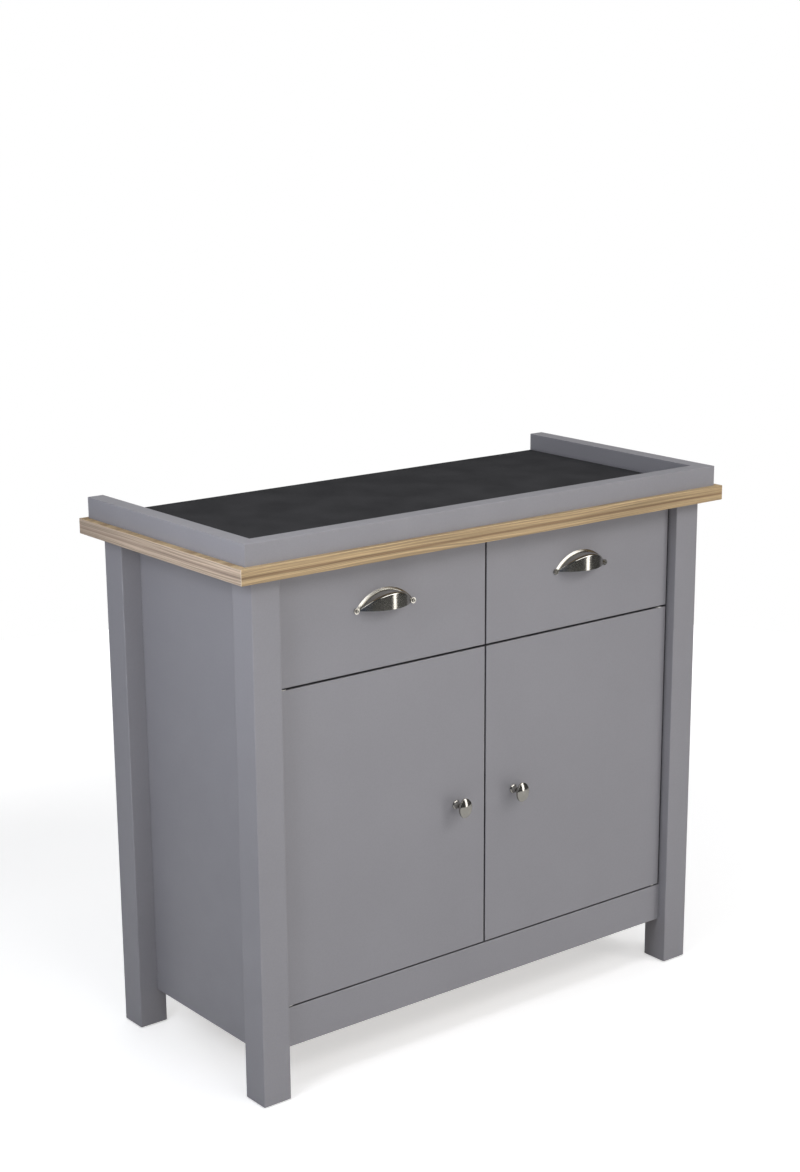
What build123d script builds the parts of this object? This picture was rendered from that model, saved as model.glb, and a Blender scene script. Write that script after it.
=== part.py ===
"""Aquarium stand cabinet: oak-effect worktop with a tank rim, four square legs, two drawers over two doors.

Millimetres. +X right, -Y front, +Z up. The origin is on the floor, under the middle of the worktop.
"""

from build123d import *
import os

os.makedirs("parts", exist_ok=True)

# ---- Driving dimensions ------------------------------------------------------------------------------
WORKTOP_LENGTH = 876.0
WORKTOP_DEPTH = 408.0
WORKTOP_THICKNESS = 22.0
WORKTOP_EDGE_RADIUS = 1.0
STAND_HEIGHT = 772.0
UNDERSIDE = STAND_HEIGHT - WORKTOP_THICKNESS

RIM_LENGTH = 854.0
RIM_DEPTH = 392.0
RIM_WIDTH = 25.0
RIM_HEIGHT = 30.0
RIM_EDGE_RADIUS = 0.8
MAT_THICKNESS = 4.0
MAT_GAP = 1.0

LEG = 45.0
LEG_OUTER_X = 409.0
LEG_FRONT = -182.0
LEG_BACK = 187.0
LEG_EDGE_RADIUS = 1.6
GLIDE_HEIGHT = 2.0
GLIDE_RADIUS = 12.0
GLIDE_TAPER = 12.0
GLIDE_NAIL_RADIUS = 1.2
GLIDE_NAIL_LENGTH = 15.0

INNER_X = LEG_OUTER_X - LEG
BOARD = 16.0
SIDE_BOARD = 15.0
SIDE_BOTTOM = 56.0

FRONT_SETBACK = 16.0
FRONT_FACE = LEG_FRONT + FRONT_SETBACK
FRONT_BACK = FRONT_FACE + BOARD
INNER_FRONT = FRONT_BACK + 2.0
INNER_BACK = 163.0
BACK_BOARD = 3.0

LOWER_RAIL_BOTTOM = 71.0
FLOOR_TOP = 130.0
FLOOR_BOTTOM = FLOOR_TOP - BOARD
DECK_BOTTOM = 589.4
DECK_TOP = DECK_BOTTOM + BOARD
TOP_RAIL_WIDTH = 60.0
TOP_RAIL_BOTTOM = UNDERSIDE - BOARD
HALF_PARTITION = BOARD / 2

SIDE_GAP = 2.5
HALF_CENTRE_GAP = 1.4
DOOR_BOTTOM = FLOOR_TOP + 2.2
DOOR_TOP = 587.2
DRAWER_BOTTOM = 590.2
DRAWER_TOP = UNDERSIDE - 2.0
FRONT_EDGE_RADIUS = 0.8

SHELF_BOTTOM = 352.0
SHELF_FRONT = -120.0
SHELF_SLACK = 1.0
PIN_RADIUS = 2.5
PIN_DEPTH = 7.5
PIN_REACH = 8.0
PIN_PITCH = 32.0
PIN_ROWS_Y = (-95.0, 118.0)
PIN_LEVELS = 7

CUTOUT_X = 186.0
CUTOUT_Z = 500.0
CUTOUT_WIDTH = 160.0
CUTOUT_HEIGHT = 80.0
CUTOUT_RADIUS = 18.0

PIVOT_X = 350.0
PIVOT_Y = -160.0
PIVOT_RADIUS = 2.5
PIVOT_LENGTH = 10.8
PIVOT_PLATE = 1.2
PIVOT_PLATE_WIDTH = 11.0
PIVOT_PLATE_BACK = -108.0
BUSH_RADIUS = 4.0
BUSH_BORE = PIVOT_RADIUS + 0.05
BUSH_DEPTH = 12.0
BUSH_FLANGE_RADIUS = 5.4
BUSH_FLANGE = 0.8

KNOB_X = 54.5
KNOB_Z = 360.0
KNOB_FOOT_RADIUS = 6.5
KNOB_FOOT_RIM = 1.4
KNOB_STEP_RADIUS = 5.4
KNOB_STEP = 2.4
KNOB_NECK_RADIUS = 4.2
KNOB_NECK = 9.0
KNOB_FLARE_HALVES = (6.4, 8.2)
KNOB_FLARE = 14.5
KNOB_HEAD_HALVES = (11.0, 14.8)
KNOB_RIM = 19.5
KNOB_LENGTH = 25.0
KNOB_CROWN_RISE = 3.5
KNOB_EDGE_RADIUS = 0.6
KNOB_SCREW_RADIUS = 2.0
KNOB_SOCKET = 8.0

PULL_X = 181.0
PULL_BASE = 676.0
SHELL_HALF = 45.5
SHELL_RISE = 23.5
SHELL_WALL = 1.6
SHELL_TIP = 2.1
SHOULDER_SHARE = 0.18
DOME_STATIONS = (-0.985, -0.95, -0.86, -0.72, -0.52, -0.27, 0.0, 0.27, 0.52, 0.72, 0.86, 0.95, 0.985)
FLANGE_HALF = 50.5
FLANGE_RISE = 26.5
FLANGE_THICKNESS = 2.0
FLANGE_BEVEL = 54.0
LUG_X = 48.5
LUG_Z = 0.5
LUG_RADIUS = 4.2
LUG_THICKNESS = 2.2
PULL_SCREW_RADIUS = 1.6
PULL_SCREW_LENGTH = 14.0
PULL_SCREW_HEAD_RADIUS = 3.1
PULL_SCREW_HEAD_HEIGHT = 1.8

DRAWER_BOARD = 12.0
RUNNER_GAP = 12.7
BOX_BOTTOM = 612.0
BOX_TOP = 712.0
BOX_BACK = 150.0
GROOVE_Z = 620.0
TRAY_THICKNESS = 4.0
GROOVE_DEPTH = 5.0
GROOVE_SLACK = 0.1
DRAWER_SCREW_RADIUS = 1.75
DRAWER_SCREW_LENGTH = 40.0
DRAWER_SCREW_HEAD_RADIUS = 3.4
DRAWER_SCREW_HEAD_HEIGHT = 1.2
DRAWER_SCREW_INSETS = (25.0, 20.0)

RUNNER_Z = 656.0
RUNNER_FRONT = -147.0
RUNNER_LENGTH = 300.0
RUNNER_STEEL = 1.2
CABINET_MEMBER = (9.6, 45.0)
MIDDLE_MEMBER = (7.6, 36.0)
DRAWER_MEMBER = (7.0, 26.0)
MIDDLE_OFFSET = 2.4

CAM_RADIUS = 7.5
CAM_DEPTH = 12.0
CAM_INSET = 34.0
CAM_SLOT_WIDTH = 1.6
CAM_SLOT_DEPTH = 1.5
BOLT_RADIUS = 3.0
BOLT_DEPTH = 10.0
INNER_BOLT_DEPTH = 7.5
PANEL_CAM_Y = (-70.0, 100.0)
FLOOR_RAIL_CAM_Z = 92.0

DOWEL_RADIUS = 4.0
DOWEL_HALF = 15.0
DOWEL_X = INNER_X + SIDE_BOARD / 2
DOWEL_LEVELS = (112.0, 400.0, 690.0)

SCREW_HEAD_RADIUS = 4.2
SCREW_HEAD_HEIGHT = 2.2
SCREW_HEAD_TAPER = 22.0
RECESS_WIDTH_SHARE = 0.22
RECESS_DEPTH_SHARE = 0.6
WORKTOP_SCREW_X = (-290.0, -100.0, 100.0, 290.0)
WORKTOP_SCREW_RADIUS = 2.0
WORKTOP_SCREW_GRIP = 14.0
PARTITION_SCREW_Y = (-100.0, 60.0)
PARTITION_SCREW_RADIUS = 2.5
PARTITION_SCREW_GRIP = 34.0
PLATE_SCREW_Y = (-140.0, -120.0)
PLATE_SCREW_RADIUS = 1.5
PLATE_SCREW_GRIP = 12.0
PLATE_SCREW_HEAD_RADIUS = 3.0
PLATE_SCREW_HEAD_HEIGHT = 1.4
NAIL_RADIUS = 0.9
NAIL_GRIP = 12.0
NAIL_HEAD_RADIUS = 2.0
NAIL_HEAD_HEIGHT = 0.8
NAIL_X = (-330.0, -220.0, -110.0, 110.0, 220.0, 330.0)

CATCH_X = 34.0
CATCH_WIDTH = 40.0
CATCH_HEIGHT = 12.0
CATCH_DEPTH = 14.0
CATCH_GAP = 0.3
CATCH_CORNER = 1.2
STRIKE_THICKNESS = 1.2
STRIKE_WIDTH = 34.0
STRIKE_HEIGHT = 10.0

SIDES = (("left", -1), ("right", 1))
TOP_RAIL_CENTRES_Y = (INNER_FRONT + TOP_RAIL_WIDTH / 2, INNER_BACK - TOP_RAIL_WIDTH / 2)
FRONT_RAIL_Y = FRONT_FACE + BOARD / 2
REAR_RAIL_Y = INNER_BACK - BOARD / 2
FLOOR_MIDDLE = FLOOR_BOTTOM + BOARD / 2
DECK_MIDDLE = DECK_BOTTOM + BOARD / 2
TOP_RAIL_MIDDLE = TOP_RAIL_BOTTOM + BOARD / 2
SIDE_FRONT = LEG_FRONT + LEG
SIDE_BACK = LEG_BACK - LEG


# ---- Helpers used inside a BuildPart block ------------------------------------------------------------
def slab(x_faces, y_faces, z_faces, mode=Mode.ADD):
    """A flat board between two faces on each axis."""
    width = max(x_faces) - min(x_faces)
    depth = max(y_faces) - min(y_faces)
    with BuildSketch(Plane.XY.offset(min(z_faces))) as outline:
        with Locations((sum(x_faces) / 2, sum(y_faces) / 2)):
            Rectangle(width, depth)
    extrude(outline.sketch, amount=max(z_faces) - min(z_faces), mode=mode)


def rods(points, direction, radius, length, mode=Mode.ADD):
    """Round bars, or round holes with Mode.SUBTRACT, from each point along a direction."""
    for point in points:
        with BuildSketch(Plane(origin=point, z_dir=direction)) as disc:
            Circle(radius)
        extrude(disc.sketch, amount=length, mode=mode)


def holes(points, direction, radius, depth):
    rods(points, direction, radius, depth, mode=Mode.SUBTRACT)


def cup_dome(centre_x, half, rise):
    """A pull's dome on the drawer front, as a solid.

    Seen from the front or from above it is an arc this long and high. Its sections across are square, with the
    shoulder between front and top rounded.
    """
    arc_radius = (half**2 + rise**2) / (2 * rise)
    with BuildPart() as dome:
        for station in DOME_STATIONS:
            offset = station * half
            size = (arc_radius**2 - offset**2) ** 0.5 - (arc_radius - rise)
            start = size * (1 - SHOULDER_SHARE)
            middle = start + size * SHOULDER_SHARE * 0.5**0.5
            with BuildSketch(
                Plane(origin=(centre_x + offset, FRONT_FACE, PULL_BASE), x_dir=(0, -1, 0), z_dir=(-1, 0, 0))
            ):
                with BuildLine():
                    Line((0, 0), (size, 0))
                    Line((size, 0), (size, start))
                    ThreePointArc((size, start), (middle, middle), (start, size))
                    Line((start, size), (0, size))
                    Line((0, size), (0, 0))
                make_face()
        loft()
    return dome.part


def pan_screws(points, outward, head, shank):
    """Screws seated at each point, with a tapered head outwards, a cross recess and a plain shank.

    head and shank are each (radius, length).
    """
    head_radius, head_height = head
    shank_radius, shank_length = shank
    for point in points:
        seat = Plane(origin=point, z_dir=outward)
        with BuildSketch(seat) as head_disc:
            Circle(head_radius)
        extrude(head_disc.sketch, amount=head_height, taper=SCREW_HEAD_TAPER)
        with BuildSketch(seat.offset(head_height)) as recess:
            Rectangle(head_radius, head_radius * RECESS_WIDTH_SHARE)
            Rectangle(head_radius * RECESS_WIDTH_SHARE, head_radius)
        extrude(recess.sketch, amount=-head_height * RECESS_DEPTH_SHARE, mode=Mode.SUBTRACT)
        with BuildSketch(seat) as shank_disc:
            Circle(shank_radius)
        extrude(shank_disc.sketch, amount=-shank_length)


def save(piece, name):
    piece.part.label = name
    export_step(piece.part, f"parts/{name}.step")


# ---- Fixing positions shared by the pieces they join ---------------------------------------------------
worktop_screw_points = [(x, y, TOP_RAIL_BOTTOM) for x in WORKTOP_SCREW_X for y in TOP_RAIL_CENTRES_Y]
partition_screw_points = [(0, y, FLOOR_BOTTOM) for y in PARTITION_SCREW_Y]
nail_points = [(x, INNER_BACK + BACK_BOARD, z) for x in NAIL_X for z in (FLOOR_MIDDLE, DECK_MIDDLE)]


def pin_holes(face_x, side):
    """Rows of shelf-pin holes going into a board from the face at face_x towards +X or -X."""
    first = SHELF_BOTTOM - PIN_RADIUS - PIN_PITCH * (PIN_LEVELS // 2)
    levels = [first + PIN_PITCH * step for step in range(PIN_LEVELS)]
    holes([(face_x, y, z) for y in PIN_ROWS_Y for z in levels], (side, 0, 0), PIN_RADIUS, PIN_DEPTH)


# ---- Worktop, rim and mat ------------------------------------------------------------------------------
with BuildPart() as worktop:
    slab(
        (-WORKTOP_LENGTH / 2, WORKTOP_LENGTH / 2),
        (-WORKTOP_DEPTH / 2, WORKTOP_DEPTH / 2),
        (UNDERSIDE, STAND_HEIGHT),
    )
    fillet(worktop.edges().filter_by(Axis.Z), WORKTOP_EDGE_RADIUS)
    fillet(worktop.faces().sort_by(Axis.Z)[-1].edges(), WORKTOP_EDGE_RADIUS)
    fillet(worktop.faces().sort_by(Axis.Z)[0].edges(), WORKTOP_EDGE_RADIUS)
    screw_tops = [(x, y, UNDERSIDE) for x, y, _ in worktop_screw_points]
    holes(screw_tops, (0, 0, 1), WORKTOP_SCREW_RADIUS, WORKTOP_SCREW_GRIP)
save(worktop, "worktop")

RIM_X = RIM_LENGTH / 2
RIM_Y = RIM_DEPTH / 2
with BuildPart() as rim_front:
    with BuildSketch(Plane.XY.offset(STAND_HEIGHT)):
        with BuildLine():
            Polyline(
                (-RIM_X, -RIM_Y),
                (RIM_X, -RIM_Y),
                (RIM_X - RIM_WIDTH, -RIM_Y + RIM_WIDTH),
                (-RIM_X + RIM_WIDTH, -RIM_Y + RIM_WIDTH),
                close=True,
            )
        make_face()
    extrude(amount=RIM_HEIGHT)
    fillet(rim_front.faces().sort_by(Axis.Z)[-1].edges().filter_by(Axis.X), RIM_EDGE_RADIUS)
save(rim_front, "rim_front")

for side_name, side in SIDES:
    with BuildPart() as rim_side:
        with BuildSketch(Plane.XY.offset(STAND_HEIGHT)):
            with BuildLine():
                Polyline(
                    (side * RIM_X, -RIM_Y),
                    (side * RIM_X, RIM_Y),
                    (side * (RIM_X - RIM_WIDTH), RIM_Y),
                    (side * (RIM_X - RIM_WIDTH), -RIM_Y + RIM_WIDTH),
                    close=True,
                )
            make_face()
        extrude(amount=RIM_HEIGHT)
        fillet(rim_side.faces().sort_by(Axis.Z)[-1].edges().filter_by(Axis.Y), RIM_EDGE_RADIUS)
    save(rim_side, f"rim_{side_name}")

with BuildPart() as mat:
    slab(
        (-RIM_X + RIM_WIDTH + MAT_GAP, RIM_X - RIM_WIDTH - MAT_GAP),
        (-RIM_Y + RIM_WIDTH + MAT_GAP, RIM_Y - MAT_GAP),
        (STAND_HEIGHT, STAND_HEIGHT + MAT_THICKNESS),
    )
save(mat, "levelling_mat")

# ---- Legs with their glides ----------------------------------------------------------------------------
glide_points = []
for side_name, side in SIDES:
    for end_name, leg_y, joint_y, into_leg in (
        ("front", (LEG_FRONT, SIDE_FRONT), SIDE_FRONT, -1),
        ("rear", (SIDE_BACK, LEG_BACK), SIDE_BACK, 1),
    ):
        with BuildPart() as leg:
            slab((side * INNER_X, side * LEG_OUTER_X), leg_y, (GLIDE_HEIGHT, UNDERSIDE))
            fillet(leg.edges().filter_by(Axis.Z), LEG_EDGE_RADIUS)
            foot = (side * (INNER_X + LEG / 2), sum(leg_y) / 2, GLIDE_HEIGHT)
            holes([foot], (0, 0, 1), GLIDE_NAIL_RADIUS, GLIDE_NAIL_LENGTH)
            dowel_mouths = [(side * DOWEL_X, joint_y, z) for z in DOWEL_LEVELS]
            holes(dowel_mouths, (0, into_leg, 0), DOWEL_RADIUS, DOWEL_HALF)
            rail_y = FRONT_RAIL_Y if end_name == "front" else REAR_RAIL_Y
            holes([(side * INNER_X, rail_y, FLOOR_RAIL_CAM_Z)], (side, 0, 0), BOLT_RADIUS, BOLT_DEPTH)
        save(leg, f"leg_{end_name}_{side_name}")
        glide_points.append(foot)

with BuildPart() as glides:
    for point in glide_points:
        with BuildSketch(Plane(origin=point, z_dir=(0, 0, -1))):
            Circle(GLIDE_RADIUS)
        extrude(amount=GLIDE_HEIGHT, taper=GLIDE_TAPER)
        with BuildSketch(Plane(origin=point, z_dir=(0, 0, 1))):
            Circle(GLIDE_NAIL_RADIUS)
        extrude(amount=GLIDE_NAIL_LENGTH)
save(glides, "foot_glides")

with BuildPart() as dowels:
    for joint_y in (SIDE_FRONT, SIDE_BACK):
        starts = [(side * DOWEL_X, joint_y - DOWEL_HALF, z) for _, side in SIDES for z in DOWEL_LEVELS]
        rods(starts, (0, 1, 0), DOWEL_RADIUS, 2 * DOWEL_HALF)
save(dowels, "leg_dowels")

# ---- Side panels ---------------------------------------------------------------------------------------
panel_bolt_spots = [(y, FLOOR_MIDDLE) for y in PANEL_CAM_Y]
panel_bolt_spots += [(y, DECK_MIDDLE) for y in PANEL_CAM_Y]
panel_bolt_spots += [(y, TOP_RAIL_MIDDLE) for y in TOP_RAIL_CENTRES_Y]

for side_name, side in SIDES:
    with BuildPart() as side_panel:
        slab(
            (side * INNER_X, side * (INNER_X + SIDE_BOARD)),
            (SIDE_FRONT, SIDE_BACK),
            (SIDE_BOTTOM, UNDERSIDE),
        )
        bolt_mouths = [(side * INNER_X, y, z) for y, z in panel_bolt_spots]
        holes(bolt_mouths, (side, 0, 0), BOLT_RADIUS, BOLT_DEPTH)
        pin_holes(side * INNER_X, side)
        for joint_y, inward in ((SIDE_FRONT, 1), (SIDE_BACK, -1)):
            dowel_mouths = [(side * DOWEL_X, joint_y, z) for z in DOWEL_LEVELS]
            holes(dowel_mouths, (0, inward, 0), DOWEL_RADIUS, DOWEL_HALF)
    save(side_panel, f"side_panel_{side_name}")


# ---- Boards joined by cam locks ------------------------------------------------------------------------
def cam_joints(spots, end_x, inward, z_or_y_face, cam_direction):
    """Cam pockets and bolt holes in a board end at end_x; spots are the (y, z) of the bolt axes."""
    holes([(end_x, y, z) for y, z in spots], (inward, 0, 0), BOLT_RADIUS, CAM_INSET)
    cam_x = end_x + inward * CAM_INSET
    if cam_direction[2]:
        holes([(cam_x, y, z_or_y_face) for y, _ in spots], cam_direction, CAM_RADIUS, CAM_DEPTH)
    else:
        holes([(cam_x, z_or_y_face, z) for _, z in spots], cam_direction, CAM_RADIUS, CAM_DEPTH)


with BuildPart() as floor_panel:
    slab((-INNER_X, INNER_X), (FRONT_BACK, INNER_BACK), (FLOOR_BOTTOM, FLOOR_TOP))
    for _, side in SIDES:
        floor_spots = [(y, FLOOR_MIDDLE) for y in PANEL_CAM_Y]
        cam_joints(floor_spots, side * INNER_X, -side, FLOOR_BOTTOM, (0, 0, 1))
        plate_screw_holes = [(side * PIVOT_X, y, FLOOR_TOP) for y in PLATE_SCREW_Y]
        holes(plate_screw_holes, (0, 0, -1), PLATE_SCREW_RADIUS, PLATE_SCREW_GRIP)
    holes(partition_screw_points, (0, 0, 1), PARTITION_SCREW_RADIUS, BOARD)
    floor_nails = [(x, INNER_BACK, FLOOR_MIDDLE) for x in NAIL_X]
    holes(floor_nails, (0, -1, 0), NAIL_RADIUS, NAIL_GRIP)
save(floor_panel, "floor_panel")

with BuildPart() as partition:
    slab((-HALF_PARTITION, HALF_PARTITION), (INNER_FRONT, INNER_BACK), (FLOOR_TOP, TOP_RAIL_BOTTOM))
    screw_ends = [(x, y, FLOOR_TOP) for x, y, _ in partition_screw_points]
    holes(screw_ends, (0, 0, 1), PARTITION_SCREW_RADIUS, PARTITION_SCREW_GRIP)
    for _, side in SIDES:
        deck_bolts = [(side * HALF_PARTITION, y, DECK_MIDDLE) for y in PANEL_CAM_Y]
        holes(deck_bolts, (-side, 0, 0), BOLT_RADIUS, INNER_BOLT_DEPTH)
        pin_holes(side * HALF_PARTITION, -side)
save(partition, "centre_partition")

for side_name, side in SIDES:
    with BuildPart() as deck:
        slab((side * HALF_PARTITION, side * INNER_X), (INNER_FRONT, INNER_BACK), (DECK_BOTTOM, DECK_TOP))
        deck_spots = [(y, DECK_MIDDLE) for y in PANEL_CAM_Y]
        cam_joints(deck_spots, side * INNER_X, -side, DECK_BOTTOM, (0, 0, 1))
        cam_joints(deck_spots, side * HALF_PARTITION, side, DECK_BOTTOM, (0, 0, 1))
        plate_screw_holes = [(side * PIVOT_X, y, DECK_BOTTOM) for y in PLATE_SCREW_Y]
        holes(plate_screw_holes, (0, 0, 1), PLATE_SCREW_RADIUS, PLATE_SCREW_GRIP)
        deck_nails = [(x, INNER_BACK, DECK_MIDDLE) for x in NAIL_X if x * side > 0]
        holes(deck_nails, (0, -1, 0), NAIL_RADIUS, NAIL_GRIP)
    save(deck, f"drawer_deck_{side_name}")

for end_name, centre_y in zip(("front", "rear"), TOP_RAIL_CENTRES_Y):
    with BuildPart() as top_rail:
        rail_y = (centre_y - TOP_RAIL_WIDTH / 2, centre_y + TOP_RAIL_WIDTH / 2)
        slab((-INNER_X, INNER_X), rail_y, (TOP_RAIL_BOTTOM, UNDERSIDE))
        rail_screws = [(x, centre_y, TOP_RAIL_BOTTOM) for x in WORKTOP_SCREW_X]
        holes(rail_screws, (0, 0, 1), WORKTOP_SCREW_RADIUS, BOARD)
        for _, side in SIDES:
            cam_joints(
                [(centre_y, TOP_RAIL_MIDDLE)], side * INNER_X, -side, TOP_RAIL_BOTTOM, (0, 0, 1)
            )
    save(top_rail, f"top_rail_{end_name}")

with BuildPart() as lower_rail_front:
    slab((-INNER_X, INNER_X), (FRONT_FACE, FRONT_BACK), (LOWER_RAIL_BOTTOM, FLOOR_TOP))
    front_face_edges = lower_rail_front.faces().sort_by(Axis.Y)[0].edges().filter_by(Axis.X)
    fillet(front_face_edges, FRONT_EDGE_RADIUS)
    for _, side in SIDES:
        cam_joints([(FRONT_RAIL_Y, FLOOR_RAIL_CAM_Z)], side * INNER_X, -side, FRONT_BACK, (0, -1, 0))
save(lower_rail_front, "lower_rail_front")

with BuildPart() as lower_rail_rear:
    slab((-INNER_X, INNER_X), (INNER_BACK - BOARD, INNER_BACK), (LOWER_RAIL_BOTTOM, FLOOR_BOTTOM))
    for _, side in SIDES:
        cam_joints(
            [(REAR_RAIL_Y, FLOOR_RAIL_CAM_Z)], side * INNER_X, -side, INNER_BACK - BOARD, (0, 1, 0)
        )
save(lower_rail_rear, "lower_rail_rear")

with BuildPart() as back_panel:
    slab((-INNER_X, INNER_X), (INNER_BACK, INNER_BACK + BACK_BOARD), (FLOOR_BOTTOM, UNDERSIDE))
    with BuildSketch(Plane.XZ.offset(-INNER_BACK - BACK_BOARD)):
        with Locations((-CUTOUT_X, CUTOUT_Z), (CUTOUT_X, CUTOUT_Z)):
            RectangleRounded(CUTOUT_WIDTH, CUTOUT_HEIGHT, CUTOUT_RADIUS)
    extrude(amount=BACK_BOARD, mode=Mode.SUBTRACT)
    holes(nail_points, (0, -1, 0), NAIL_RADIUS, BACK_BOARD)
save(back_panel, "back_panel")

# ---- Fasteners of the carcass ---------------------------------------------------------------------------
def slotted_cams(points, inward):
    """Cam discs sunk in from each point, with a cross slot for the screwdriver."""
    rods(points, inward, CAM_RADIUS, CAM_DEPTH)
    for point in points:
        with BuildSketch(Plane(origin=point, z_dir=inward)) as slot:
            Rectangle(CAM_RADIUS, CAM_SLOT_WIDTH)
            Rectangle(CAM_SLOT_WIDTH, CAM_RADIUS)
        extrude(slot.sketch, amount=CAM_SLOT_DEPTH, mode=Mode.SUBTRACT)


with BuildPart() as cams:
    for _, side in SIDES:
        outer_cam_x = side * (INNER_X - CAM_INSET)
        inner_cam_x = side * (HALF_PARTITION + CAM_INSET)
        slotted_cams([(outer_cam_x, y, FLOOR_BOTTOM) for y in PANEL_CAM_Y], (0, 0, 1))
        slotted_cams([(outer_cam_x, y, DECK_BOTTOM) for y in PANEL_CAM_Y], (0, 0, 1))
        slotted_cams([(inner_cam_x, y, DECK_BOTTOM) for y in PANEL_CAM_Y], (0, 0, 1))
        slotted_cams([(outer_cam_x, y, TOP_RAIL_BOTTOM) for y in TOP_RAIL_CENTRES_Y], (0, 0, 1))
        slotted_cams([(outer_cam_x, FRONT_BACK, FLOOR_RAIL_CAM_Z)], (0, -1, 0))
        slotted_cams([(outer_cam_x, INNER_BACK - BOARD, FLOOR_RAIL_CAM_Z)], (0, 1, 0))
save(cams, "cam_locks")

BOLT_REACH = CAM_INSET - CAM_RADIUS - 0.2
with BuildPart() as bolts:
    for _, side in SIDES:
        outer_ends = [(side * (INNER_X + BOLT_DEPTH), y, z) for y, z in panel_bolt_spots]
        outer_ends.append((side * (INNER_X + BOLT_DEPTH), FRONT_RAIL_Y, FLOOR_RAIL_CAM_Z))
        outer_ends.append((side * (INNER_X + BOLT_DEPTH), REAR_RAIL_Y, FLOOR_RAIL_CAM_Z))
        rods(outer_ends, (-side, 0, 0), BOLT_RADIUS, BOLT_DEPTH + BOLT_REACH)
        inner_x = side * (HALF_PARTITION - INNER_BOLT_DEPTH)
        inner_ends = [(inner_x, y, DECK_MIDDLE) for y in PANEL_CAM_Y]
        rods(inner_ends, (side, 0, 0), BOLT_RADIUS, INNER_BOLT_DEPTH + BOLT_REACH)
save(bolts, "cam_bolts")

with BuildPart() as carcass_screws:
    pan_screws(
        worktop_screw_points,
        (0, 0, -1),
        (SCREW_HEAD_RADIUS, SCREW_HEAD_HEIGHT),
        (WORKTOP_SCREW_RADIUS, BOARD + WORKTOP_SCREW_GRIP),
    )
    pan_screws(
        partition_screw_points,
        (0, 0, -1),
        (SCREW_HEAD_RADIUS, SCREW_HEAD_HEIGHT),
        (PARTITION_SCREW_RADIUS, BOARD + PARTITION_SCREW_GRIP),
    )
    for _, side in SIDES:
        for plate_z, door_way in ((FLOOR_TOP, 1), (DECK_BOTTOM, -1)):
            pan_screws(
                [(side * PIVOT_X, y, plate_z + door_way * PIVOT_PLATE) for y in PLATE_SCREW_Y],
                (0, 0, door_way),
                (PLATE_SCREW_HEAD_RADIUS, PLATE_SCREW_HEAD_HEIGHT),
                (PLATE_SCREW_RADIUS, PLATE_SCREW_GRIP + PIVOT_PLATE),
            )
save(carcass_screws, "carcass_screws")

with BuildPart() as nails:
    rods(nail_points, (0, 1, 0), NAIL_HEAD_RADIUS, NAIL_HEAD_HEIGHT)
    rods(nail_points, (0, -1, 0), NAIL_RADIUS, BACK_BOARD + NAIL_GRIP)
save(nails, "back_panel_nails")

# ---- Shelves --------------------------------------------------------------------------------------------
for side_name, side in SIDES:
    with BuildPart() as shelf:
        slab(
            (side * (HALF_PARTITION + SHELF_SLACK), side * (INNER_X - SHELF_SLACK)),
            (SHELF_FRONT, INNER_BACK - SHELF_SLACK),
            (SHELF_BOTTOM, SHELF_BOTTOM + BOARD),
        )
    save(shelf, f"shelf_{side_name}")

with BuildPart() as shelf_pins:
    for _, side in SIDES:
        for y in PIN_ROWS_Y:
            pin_z = SHELF_BOTTOM - PIN_RADIUS
            outer_end = (side * (INNER_X + PIN_DEPTH), y, pin_z)
            inner_end = (side * (HALF_PARTITION - PIN_DEPTH), y, pin_z)
            rods([outer_end], (-side, 0, 0), PIN_RADIUS, PIN_DEPTH + PIN_REACH)
            rods([inner_end], (side, 0, 0), PIN_RADIUS, PIN_DEPTH + PIN_REACH)
save(shelf_pins, "shelf_pins")

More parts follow.
